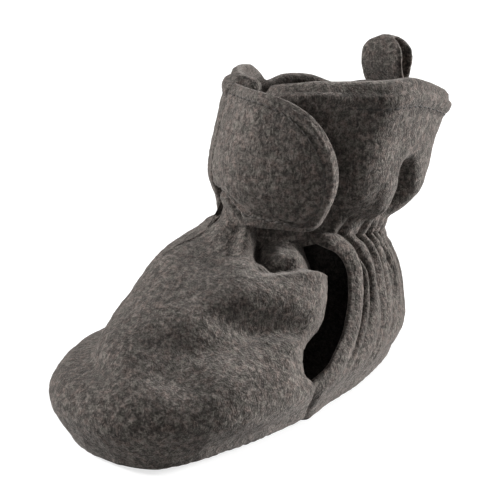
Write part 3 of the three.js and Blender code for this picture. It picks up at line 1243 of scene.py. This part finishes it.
@dataclass
class Foot(SubAssembly):
    """The toe and vamp, the heel quarter, their linings, the ankle elastic and the tongue."""

    upper: Upper
    edges: Edges
    flap: Flap
    vamp_folds: tuple[Fold, ...] = (
        Fold(((22, 0.490), (40, 0.478), (56, 0.474), (72, 0.466)), 1.5, 5.5, 0.2),
        Fold(((38, 0.556), (48, 0.556), (60, 0.535)), 4.6, 4.6),
        Fold(((14, 0.625), (18, 0.600), (25, 0.565), (34, 0.528), (42, 0.506)), -2.8, 1.7, 0.2),
        Fold(((20, 0.400), (40, 0.375), (60, 0.345), (74, 0.306), (86, 0.282)), -3.8, 3.6, 0.4),
        Fold(((2, 0.320), (26, 0.300), (48, 0.320), (68, 0.320)), -3.2, 6.5),
        Fold(((28, 0.435), (50, 0.420), (74, 0.400)), 2.2, 4.6),
        Fold(((40, 0.170), (58, 0.175), (76, 0.165)), 1.6, 8.0),
        Fold(((-80, 0.470), (-45, 0.475), (-12, 0.470)), 2.8, 9.0),
        Fold(((-110, 0.256), (-70, 0.250), (-40, 0.244), (-10, 0.222), (14, 0.205)), -4.0, 5.0),
        Fold(((-95, 0.305), (-50, 0.310), (-16, 0.305)), -2.0, 9.0),
        Fold(((-30, 0.140), (-5, 0.150), (20, 0.150)), 0.9, 9.0),
        Fold(((10, 0.255), (25, 0.230), (42, 0.205)), -1.8, 4.5),
        Fold(((2, 0.610), (7, 0.575), (14, 0.545)), -2.0, 2.6, 0.2),
        Fold(((-8, 0.575), (2, 0.535), (14, 0.510)), -1.6, 3.4, 0.2),
        Fold(((-22, 0.560), (-10, 0.520)), -1.0, 4.0, 0.2),
    )

    def vamp_relief(self, angle: Array, height: Array, points: Array) -> Array:
        """The vamp's puffs, folds and the hollow under the strap, in mm."""
        hollow = -6.5 * smoothstep(past_hollow(angle, height), -3, 7) * smoothstep(height, 0.488, 0.532)
        fill = 3.4 * (1 - smoothstep(height, 0.0, 0.15)) * toe_share(angle, 10)
        return hollow + fill + folded(self.vamp_folds, self.upper, points)

    def vamp_outer(self, angle: Array, height: Array, points: Array) -> Array:
        """How far the vamp's fleece stands off, in mm."""
        lower, _ = self.flap.edges(angle)
        inside = smoothstep(angle, -30.5, -28.5) * smoothstep(angle, 16, 9)
        dive = smoothstep(height, 0.607, 0.625) * (1 - inside) + smoothstep(height - lower, -0.006, 0.02) * inside
        raised = 0.6 * smoothstep(height, 0.5, 0.62) * smoothstep(angle, -26, -4) * smoothstep(angle, 20, 8)
        swell = 0.45 * lumps(points, 14.0, 11) + 0.25 * lumps(points, 7.0, 12)
        depth = 3.0 - 1.5 * smoothstep(angle, -18, -32)
        inside_edge = 0.52 * (self.edges.vamp_rear(height) - np.abs(angle))
        curl = -2.4 * (1 - smoothstep(inside_edge, 0.0, 5.0)) * smoothstep(height, 0.13, 0.19)
        tucked = depth * dive * (1 - smoothstep(angle, 14, 26))
        return self.vamp_relief(angle, height, points) + swell + raised + curl - tucked

    def skirt(self, angle: Array, height: Array, points: Array) -> Array:
        """How far the fleece's lower edge wraps down over the sole, in mm."""
        return (2.1 - 0.9 * toe_share(angle, 5)) * (1 - smoothstep(height, 0.0, 0.05))

    def vamp_place(self, across: Array, up: Array) -> tuple[Array, Array]:
        """Angle and height over the vamp."""
        side = 2 * across - 1
        nominal = side * 78
        lower, _ = self.flap.edges(nominal)
        behind = smoothstep(nominal, -31, -28.5) * smoothstep(nominal, 60, 50)
        top = 0.607 + (np.maximum(lower + 0.028, 0.655) - 0.607) * behind
        height = up * top
        return side * self.edges.vamp_rear(height), height

    def heel_outer(self, angle: Array, height: Array, points: Array) -> Array:
        """How far the quarter's fleece stands off: the rolled front edge and the gathers, in mm."""
        rows = np.linspace(0, 0.615, 200)
        edge = self.edges.quarter_front(rows)
        both = [self.upper.point(edge, rows), self.upper.point(360 - edge, rows)]
        near = reach_from(points, np.concatenate(both))
        open_part = smoothstep(height, 0.13, 0.19)
        deep = 0.9 * smoothstep(height, 0.04, 0.14) + 1.4 * smoothstep(height, 0.14, 0.46)
        gathers = deep * self.edges.gathers(angle, height) * smoothstep(near, 4.4, 7.0)
        roll = 1.2 * bell(near, 2.3, 2.6) - 1.9 * bell(near, 5.9, 1.2)
        merge = -1.5 * (1 - smoothstep(near, 0.0, 4.5)) * (1 - open_part)
        swell = 0.5 * lumps(points, 13.0, 23)
        tuck = -4.5 * (1 - smoothstep(np.minimum(angle, 360 - angle), 50, 76)) * smoothstep(height, 0.55, 0.61)
        top = -1.2 * smoothstep(height, 0.565, 0.61) - 2.0 * smoothstep(height, 0.608, 0.622)
        top += 2.0 * bell(angle, 122, 28) * smoothstep(height, 0.54, 0.61)
        return 0.4 + gathers + roll * open_part + merge + swell + tuck + top

    def heel_place(self, across: Array, up: Array) -> tuple[Array, Array]:
        """Angle and height over the heel quarter."""
        height = 0.622 * up
        front = self.edges.quarter_front(height)
        return front + (360 - 2 * front) * across, height

    def lining_outer(self, angle: Array, height: Array, points: Array) -> Array:
        """The lining follows the vamp's broad shape and sinks behind the crease, in mm."""
        turned = signed(angle)
        near = np.abs(np.abs(turned) - self.edges.quarter_front(height) + 6)
        crease = -6.0 * np.exp(-((near / 10.0) ** 2)) * smoothstep(height, 0.12, 0.20)
        under = smoothstep(past_hollow(turned, height), -3, 7) * (1 - smoothstep(turned, 62, 80))
        hollow = -5.0 * under * smoothstep(height, 0.49, 0.52)
        folds = np.minimum(folded(self.vamp_folds, self.upper, points), 0) * smoothstep(np.abs(turned), 104, 94)
        return -3.9 + folds + crease + hollow - 0.8 * smoothstep(height, 0.5, 0.6)

    def build(self) -> None:
        """Makes and mounts the foot's pieces."""
        vamp = Layer(
            "vamp_fleece", self.vamp_place, self.vamp_outer, thickness=1.5, columns=240, rows=190,
            nap=0.24, roll=0.9, roll_reach=2.0, seed=31, drop=self.skirt,
        )
        self.sew(vamp, SHELL, Slot.FLEECE, "vamp_shell")
        heel = Layer(
            "heel_fleece", self.heel_place, self.heel_outer, thickness=1.6, columns=320, rows=128,
            nap=0.2, roll=0.3, roll_reach=1.4, seed=41, drop=self.skirt,
        )
        self.sew(heel, SHELL, Slot.FLEECE, "heel_shell")
        # The vamp and heel linings wear the near-black lining, whose colour is painted shade.
        front = Layer(
            "vamp_inner", lambda a, b: ((2 * a - 1) * 96.0, 0.600 * b), self.lining_outer,
            thickness=1.2, columns=88, rows=60, nap=0.08, seed=51,
        )
        self.sew(front, SHADE_PAINTED_LINING, Slot.LINING, "vamp_lining")
        rear = Layer(
            "heel_inner", lambda a, b: (94.0 + 172.0 * a, 0.600 * b), self.lining_outer,
            thickness=1.2, columns=80, rows=60, nap=0.08, seed=52,
        )
        self.sew(rear, SHADE_PAINTED_LINING, Slot.LINING, "heel_lining")
        band = Layer(
            "ankle_band", lambda a, b: (84.0 + 192.0 * a, 0.578 + 0.058 * b),
            lambda a, h, p: -3.3 + 0.3 * np.sin(np.radians(a) * 90),
            thickness=0.9, columns=160, rows=8, nap=0.03, seed=53,
        )
        self.sew(band, ELASTIC, Slot.ELASTIC, "ankle_elastic")
        tongue = Layer(
            "tongue_fleece", lambda a, b: (-28.5 + 40.0 * a, 0.60 + (0.87 - 0.60) * b),
            lambda a, h, p: -4.3 + 0.3 * lumps(p, 9.0, 55),
            thickness=1.6, columns=60, rows=60, nap=0.12, roll=0.6, roll_reach=2.0, seed=54,
        )
        self.sew(tongue, SHELL, Slot.FLEECE, "tongue")


def inner_lean(angle: Array, height: Array) -> Array:
    """How far the collar's inner front leans in towards the ankle, in mm, below 0."""
    turned = signed(angle)
    round_front = smoothstep(turned, -112, -70) * smoothstep(turned, 18, -18)
    return -4.7 * np.clip((height - 0.72) / 0.28, 0, 1) ** 1.5 * round_front


@dataclass
class Collar(SubAssembly):
    """The wrap-over collar with its hem and lining."""

    upper: Upper
    edges: Edges
    start: float = 5.0
    end: float = 334.0
    hem_start: float = 0.957
    rise: Track = single(
        -0.8, 0.2, 1.4, 1.7, 2.2, 3.4, 4.2, 3.6, 2.2, 0.8, 0.0, 0.0, 0.0,
        -0.8, -2.8, -1.2, -1.6, -4.0, -1.2, 0.5, 0.9, 0.8, 0.0, -0.6, -0.8,
    )
    folds: tuple[Fold, ...] = (
        Fold(((97, 0.85), (103, 0.80), (106, 0.74), (102, 0.685)), -4.6, 2.5, 0.25),
        Fold(((86, 0.80), (90, 0.74), (95, 0.69)), 2.0, 4.0),
        Fold(((112, 0.80), (118, 0.74), (112, 0.68)), 2.0, 5.0),
        Fold(((60, 0.72), (72, 0.68), (86, 0.66)), -1.2, 3.5),
        Fold(((66, 0.90), (70, 0.80), (74, 0.72)), 0.9, 6.0),
        Fold(((150, 0.80), (158, 0.72), (165, 0.66)), -1.4, 3.5),
        Fold(((205, 0.82), (214, 0.74), (222, 0.66)), -1.6, 3.5),
        Fold(((255, 0.80), (262, 0.72), (268, 0.66)), -1.5, 3.5),
    )

    def stand(self, angle: Array, height: Array, points: Array) -> Array:
        """How far the collar's fleece stands off, with its folds, in mm."""
        tuck = -4.5 * (1 - smoothstep(angle, 52, 80))
        cinch = -0.8 * (1 - smoothstep(height, 0.61, 0.65)) - 2.0 * (1 - smoothstep(height, 0.598, 0.612))
        low = 1 - smoothstep(height, 0.61, 0.71)
        gathers = 1.6 * self.edges.gathers(angle, height) * low * smoothstep(angle, 58, 70)
        flare = 2.4 * bell(angle, 126, 15) * smoothstep(height, 0.87, 1.0)
        puff = 2.4 * bell(angle, 126, 22) * bell(height, 0.82, 0.09)
        puff += 2.0 * bell(angle, 122, 28) * (1 - smoothstep(height, 0.61, 0.68))
        end = -2.4 * smoothstep(angle, 329, 333.5)
        swell = 0.5 * lumps(points, 12.0, 63)
        settled = folded(self.folds, self.upper, points) * (1 - 0.7 * smoothstep(height, 0.88, 0.97))
        return tuck + cinch + gathers + flare + puff + end + swell + settled + inner_lean(angle, height)

    def place(self, low: float, high: float) -> Placing:
        """Angle and height over a band of the collar."""
        return lambda across, up: (self.start + (self.end - self.start) * across, low + (high - low) * up)

    def rim_rise(self, angle: Array) -> Array:
        """How far the rim lifts above its drafted line, in mm."""
        return self.rise.at((angle % 360) / 360)[..., 0]

    def hem_outer(self, angle: Array, height: Array, points: Array) -> Array:
        """The hem is a soft roll over the wall, in mm."""
        return self.stand(angle, height, points) + 1.0 - 0.6 * smoothstep(height, 0.985, 1.0)

    def build(self) -> None:
        """Makes and mounts the collar's pieces."""
        shell = Layer(
            "collar_fleece", self.place(0.598, 0.966), self.stand, thickness=1.6, columns=360, rows=96,
            nap=0.22, roll=0.3, roll_reach=1.4, seed=61,
        )
        self.lift_rim(self.sew(shell, SHELL, Slot.FLEECE, "collar_shell"))
        inner = Layer(
            "collar_inner", self.place(0.606, 0.966), lambda a, h, p: self.stand(a, h, p) - 2.6,
            thickness=1.5, columns=160, rows=52, nap=0.10, roll=0.3, roll_reach=2.0, seed=64,
        )
        self.lift_rim(self.sew(inner, LINING, Slot.LINING, "collar_lining"))
        hem = Layer(
            "rim_hem", self.place(self.hem_start, 1.0), self.hem_outer, thickness=4.9, columns=320, rows=12,
            nap=0.14, roll=0.7, roll_reach=1.6, seed=65,
        )
        self.lift_rim(self.sew(hem, SHELL, Slot.FLEECE, "collar_hem"))
        tails = Layer(
            "loop_ends", lambda a, b: (174.0 + 14.0 * a, 0.88 + 0.07 * b), lambda a, h, p: np.full(a.shape, -2.0),
            thickness=0.5, columns=20, rows=12, nap=0.03, seed=66,
        )
        self.sew(tails, SHELL, Slot.FLEECE, "loop_tails")

    def lift_rim(self, piece: bpy.types.Object) -> None:
        """Raises the rim where it waves."""
        count = len(piece.data.vertices)
        spots = np.zeros(count * 3)
        piece.data.vertices.foreach_get("co", spots)
        spots = spots.reshape(-1, 3) / MM
        middle = np.array([0.5, 29.0])
        angle = np.degrees(np.arctan2(spots[:, 0] - middle[0], -(spots[:, 1] - middle[1]))) % 360
        top = 79.0 - 6.5 * np.cos(np.radians(angle + 180))
        share = smoothstep(spots[:, 2], top - 24, top + 1)
        spots[:, 2] += share * self.rim_rise(angle)
        piece.data.vertices.foreach_set("co", (spots * MM).ravel())
        piece.data.update()


@dataclass
class Strap(SubAssembly):
    """The closing strap and its lining."""

    upper: Upper
    flap: Flap
    lift: float = 1.0

    def place(self, inset: float) -> Placing:
        """Angle and height over the strap, an inset in mm inside its free edge."""

        def placing(across: Array, up: Array) -> tuple[Array, Array]:
            """Angle and height at shares across and up."""
            reach = 0.9985 * np.sin(across * math.pi / 2)
            full = self.flap.root + (self.flap.tip - self.flap.root) * reach
            lower, upper = self.flap.edges(full)
            angle = full - inset / 0.52 * reach - 2.2 * (1 - reach) ** 3
            step = inset * 0.0088
            return angle, lower + step + (upper - lower - 2 * step) * up

        return placing

    def stand(self, angle: Array, height: Array, points: Array) -> Array:
        """How far the strap's outer face stands off, in mm."""
        lower, _ = self.flap.edges(angle)
        tip = 2.6 * smoothstep(angle, 14, 50)
        root = -1.2 * (1 - smoothstep(angle, -30.6, -28.0))
        sunk = -1.9 * (1 - smoothstep(height - lower, 0.0, 0.03)) * (1 - smoothstep(angle, -6, 10))
        ear = 0.6 * bell(angle, -30, 9) * smoothstep(height, 0.86, 0.985)
        swell = 0.4 * lumps(points, 11.0, 71)
        near = reach_from(points, self.upper.point(*self.flap.outline(0.0)))
        hem = (0.35 * bell(near, 1.0, 0.9) - 0.6 * bell(near, 2.5, 0.7)) * smoothstep(angle, -22, -10)
        rest = self.lift * smoothstep(angle, -28.6, 5) + inner_lean(angle, height)
        return rest + tip + root + sunk + ear + swell + hem

    def build(self) -> None:
        """Makes the strap's pieces in the place of the strap's nodes."""
        shell = Layer(
            "strap_fleece_panel", self.place(0.0), self.stand, thickness=1.8, columns=160, rows=112,
            nap=0.2, roll=0.5, roll_reach=1.5, seed=72,
        ).build(self.upper)
        # The strap's fleece is the lighter copy whose extra brightness is partly painted light.
        self.bend(self.wear(shell, STRAP_PAINTED_LIGHT_FLEECE), Slot.FLEECE, "strap_shell")
        inner = Layer(
            "strap_inner", self.place(0.7), lambda a, h, p: self.stand(a, h, p) - 1.85,
            thickness=1.1, columns=100, rows=72, nap=0.1, roll=0.2, roll_reach=1.5, seed=73,
        ).build(self.upper)
        self.bend(self.wear(inner, LINING), Slot.LINING, "strap_lining")

    def bend(self, piece: bpy.types.Object, slot: Slot, *nodes: str) -> None:
        """Bakes a piece's placement into its mesh, in the place of nodes."""
        start = self.upper.place(np.array(self.flap.root), np.array(0.8), 0.0)
        ahead = self.upper.place(np.array(self.flap.root + 6.0), np.array(0.8), 0.0)
        direction = unit(ahead - start)
        tuple(start * MM)
        tuple((start + 12.0 * direction) * MM)
        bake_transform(piece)
        if nodes:
            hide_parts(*nodes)
        log.info("%s bends from shoe to strap, %d faces", piece.name, len(piece.data.polygons))


@dataclass
class Fasteners(SubAssembly):
    """The hook tape inside the strap and the loop tape on the collar."""

    upper: Upper
    collar: Collar
    strap: Strap

    def build(self) -> None:
        """Makes and mounts both tapes."""
        recipe = bristle_recipe()
        self._tape(
            recipe, "loop_tape", lambda a, h, p: self.collar.stand(a, h, p) + 0.6, Body.SHOE, "loop_patch",
            Density=0.9e6, Thick=0.00018, Seed=4,
        )
        self._tape(
            recipe, "hook_tape", lambda a, h, p: self.strap.stand(a, h, p) - 3.0, Body.STRAP, "hook_patch",
            Density=0.7e6, Thick=0.00022, Seed=5,
        )

    def _tape(self, recipe: Recipe, name: str, outer: Field, body: Body, node: str, **sizes: float) -> None:
        """Makes and mounts one tape.

        Args:
            recipe: The bristles' tree.
            name: The tape's name.
            outer: Gives how far its face stands off the drafted surface, in mm.
            body: What it rides on.
            node: The solid that it replaces.
            **sizes: Values for the tree's named inputs.
        """
        patch = Layer(
            name, lambda a, b: (16 + 28 * a, 0.68 + 0.18 * b), outer, thickness=0.6, columns=24, rows=20, nap=0.0
        ).build(self.upper)
        pile = recipe.grow(f"{name}_pile", patch, BRISTLE, Tall=0.0006, **sizes)
        self.mount(pile, body, Slot.FASTENER, node)


@dataclass
class PullLoop(SubAssembly):
    """The folded ribbon loop that stands on the rim at the back."""

    width: float = 14.0
    ribbon: float = 1.9
    height: float = 14.9
    bulge: float = 2.75
    lean: float = 0.5
    steps: int = 72
    around: int = 28

    def build(self) -> None:
        """Makes and mounts the loop."""
        low, high = (np.array(corner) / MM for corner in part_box("pull_loop"))
        foot = np.array([(low[0] + high[0]) / 2, (low[1] + high[1]) / 2, low[2]])
        share = np.linspace(0, 1, self.steps + 1)
        turn = (share - 0.5) * 2 * math.pi
        path_y = self.bulge * np.sin(turn) * np.abs(np.sin(turn)) ** 0.15 * 0.98
        path_z = 1.2 + (self.height - 2.2) * (0.5 + 0.5 * np.cos(turn)) ** 0.72
        lean = self.lean * (path_z / self.height) ** 1.5
        centre = np.stack([np.zeros_like(share), path_y + lean, path_z], axis=1)
        tangent = unit(np.gradient(centre, axis=0))
        outward = np.stack([np.zeros_like(share), tangent[:, 2], -tangent[:, 1]], axis=1)
        away = (outward[:, 1:] * (centre[:, 1:] - [lean.mean(), 7.0])).sum(1, keepdims=True)
        outward *= np.where(away < 0, -1, 1)
        half = self.width / 2 * np.sqrt(1 - 0.88 * np.clip((path_z - 8.5) / (path_z.max() - 8.5), 0, 1) ** 2.6)
        phase = np.linspace(0, 2 * math.pi, self.around, endpoint=False)
        flat = np.sign(np.cos(phase)) * np.abs(np.cos(phase)) ** 0.35
        thick = np.sin(phase) * (1 + 0.35 * np.abs(np.cos(phase)) ** 4)
        rings = []
        for spot, out, wide in zip(centre, outward, half):
            ring = spot + np.outer(flat * wide, [1, 0, 0]) + np.outer(thick * self.ribbon / 2, out)
            rings.append(ring)
        vertices = np.concatenate(rings) + foot
        vertices += 0.12 * np.stack([lumps(vertices, 1.4, seed) for seed in (91, 92, 93)], axis=1)
        faces = ring_faces(self.steps + 1, self.around, flipped=True)
        faces.append(tuple(range(self.around - 1, -1, -1)))
        faces.append(tuple(self.steps * self.around + k for k in range(self.around)))
        loop = make_object("pull_loop_ribbon", vertices, faces)
        self.mount(self.wear(loop, SHELL), Body.LOOP, Slot.FLEECE, "pull_loop")


@dataclass
class Stitching(SubAssembly):
    """The sewing lines that show."""

    upper: Upper
    flap: Flap
    collar: Collar
    strap: Strap

    def build(self) -> None:
        """Sews the strap's edge, the hem and the sole seam."""
        recipe = stitch_recipe()
        angle, height = self.flap.outline(2.3)
        line = polyline("seed", self._over(self.strap.stand, angle, height, 0.05))
        thread = recipe.grow("strap_topstitch", line, THREAD, Pitch=0.0024, Length=0.0019, Thread=0.00055)
        self.strap.bend(thread, Slot.FLEECE)
        angle = np.linspace(55, 329, 700)
        height = np.full(angle.shape, self.collar.hem_start - 0.002)
        line = polyline("seed", self._over(self.collar.stand, angle, height, 0.1))
        hem = recipe.grow("hem_stitch", line, DARK_THREAD, Pitch=0.0026, Length=0.0021, Thread=0.0006)
        self.collar.lift_rim(hem)
        self.mount(hem, Body.SHOE, Slot.FLEECE)
        angle = np.linspace(0, 360, 900)
        edge = self.upper.place(angle, np.zeros(900), -2.6) * np.array([1, 1, 0]) + np.array([0, 0, 1.15])
        line = polyline("seed", edge)
        seam = recipe.grow("sole_seam_stitch", line, DARK_THREAD, Pitch=0.0026, Length=0.0022, Thread=0.0006)
        self.mount(seam, Body.SHOE, Slot.SOLE)

    def _over(self, stand: Field, angle: Array, height: Array, lift: float) -> Array:
        """Points in mm over a panel's face, at a lift above it."""
        spots = self.upper.point(angle, height)
        return self.upper.place(angle, height, stand(angle, height, spots) + lift)


@dataclass
class Studio:
    """Floor, soft lights and the camera."""

    azimuth: float = 38.8
    elevation: float = 18.9
    distance: float = 430.0
    lens: float = 113.9
    target: Triple = (-4.4, 1.9, 38.6)
    ambient: float = 0.115
    suns: tuple[tuple[str, float, float, float, float], ...] = (
        ("key", -64, 29, 16, 4.7),
        ("front", 0, 18, 40, 0.55),
        ("back_right", 144, 15, 18, 7.4),
    )

    def build(self) -> None:
        """Makes the studio."""
        self._floor()
        self._camera()
        self._world(self.ambient)
        for sun in self.suns:
            self._sun(*sun)
        bpy.context.scene.view_settings.view_transform = "Standard"

    @staticmethod
    def _direction(azimuth: float, elevation: float) -> Vector:
        """From the object towards a place on the studio's dome."""
        a, e = math.radians(azimuth), math.radians(elevation)
        return Vector((math.sin(a) * math.cos(e), -math.cos(a) * math.cos(e), math.sin(e)))

    def _camera(self) -> None:
        """Makes the camera."""
        data = bpy.data.cameras.new("camera")
        data.sensor_width, data.lens = 36.0, self.lens
        camera = bpy.data.objects.new("camera", data)
        back = self._direction(self.azimuth, self.elevation)
        camera.location = (Vector(self.target) + back * self.distance) * MM
        camera.rotation_mode = "QUATERNION"
        camera.rotation_quaternion = (-back).to_track_quat("-Z", "Y")
        bpy.context.scene.collection.objects.link(camera)
        bpy.context.scene.camera = camera

    def _floor(self) -> None:
        """Makes a round pale floor."""
        steps = 64
        rings = [0.0, 400.0, 1500.0, 6000.0]
        vertices = [np.zeros(3)]
        for radius in rings[1:]:
            for k in range(steps):
                turn = 2 * math.pi * k / steps
                vertices.append(np.array([radius * math.cos(turn), radius * math.sin(turn), 0.0]))
        faces = [(0, 1 + k, 1 + (k + 1) % steps) for k in range(steps)]
        faces += ring_faces(len(rings) - 1, steps, first=1)
        floor = make_object("studio_floor", np.array(vertices) - np.array([0, 0, 0.02]), faces)
        floor.data.materials.append(Paper("paper").material())

    @staticmethod
    def _world(strength: float) -> None:
        """Lights the scene evenly from all round."""
        world = bpy.data.worlds.new("studio")
        world.use_nodes = True
        world.node_tree.nodes.clear()
        graph = Graph(world.node_tree)
        sky = graph.node("ShaderNodeBackground", inputs={"Color": (1.0, 0.995, 0.985, 1.0), "Strength": strength})
        graph.node("ShaderNodeOutputWorld", inputs={"Surface": graph.signal(sky)})
        bpy.context.scene.world = world

    def _sun(self, name: str, azimuth: float, elevation: float, softness: float, power: float) -> None:
        """Adds a broad, far lamp.

        Args:
            name: The lamp's name.
            azimuth: Its direction round the object, in degrees.
            elevation: Its direction above the horizon, in degrees.
            softness: How wide it looks, in degrees.
            power: Its strength in watts per square metre.
        """
        data = bpy.data.lights.new(name, "SUN")
        data.angle, data.energy = math.radians(softness), power
        lamp = bpy.data.objects.new(name, data)
        back = self._direction(azimuth, elevation)
        lamp.location = back
        lamp.rotation_mode = "QUATERNION"
        lamp.rotation_quaternion = back.to_track_quat("Z", "Y")
        bpy.context.scene.collection.objects.link(lamp)


def check_draft(upper: Upper) -> None:
    """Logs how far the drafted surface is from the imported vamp's box."""
    low, high = (np.array(corner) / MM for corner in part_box("vamp_shell"))
    angle, height = np.meshgrid(np.linspace(-80, 80, 81), np.linspace(0, 0.6, 61))
    spots = upper.point(angle, height).reshape(-1, 3)
    toe, side = spots[:, 1].min(), spots[:, 0].max()
    log.info("toe %.2f against %.2f mm, width %.2f against %.2f mm", toe, low[1], side, high[0])


def main() -> None:
    """Builds the bootie and its studio."""
    logging.basicConfig(level=logging.INFO, format="%(message)s")
    upper, flap = Upper(), Flap()
    check_draft(upper)
    Studio().build()
    SoleUnit(upper).build()
    edges = Edges()
    collar, strap = Collar(upper, edges), Strap(upper, flap)
    Foot(upper, edges, flap).build()
    collar.build()
    strap.build()
    Fasteners(upper, collar, strap).build()
    PullLoop().build()
    Stitching(upper, flap, collar, strap).build()


if __name__ == "__main__":
    main()
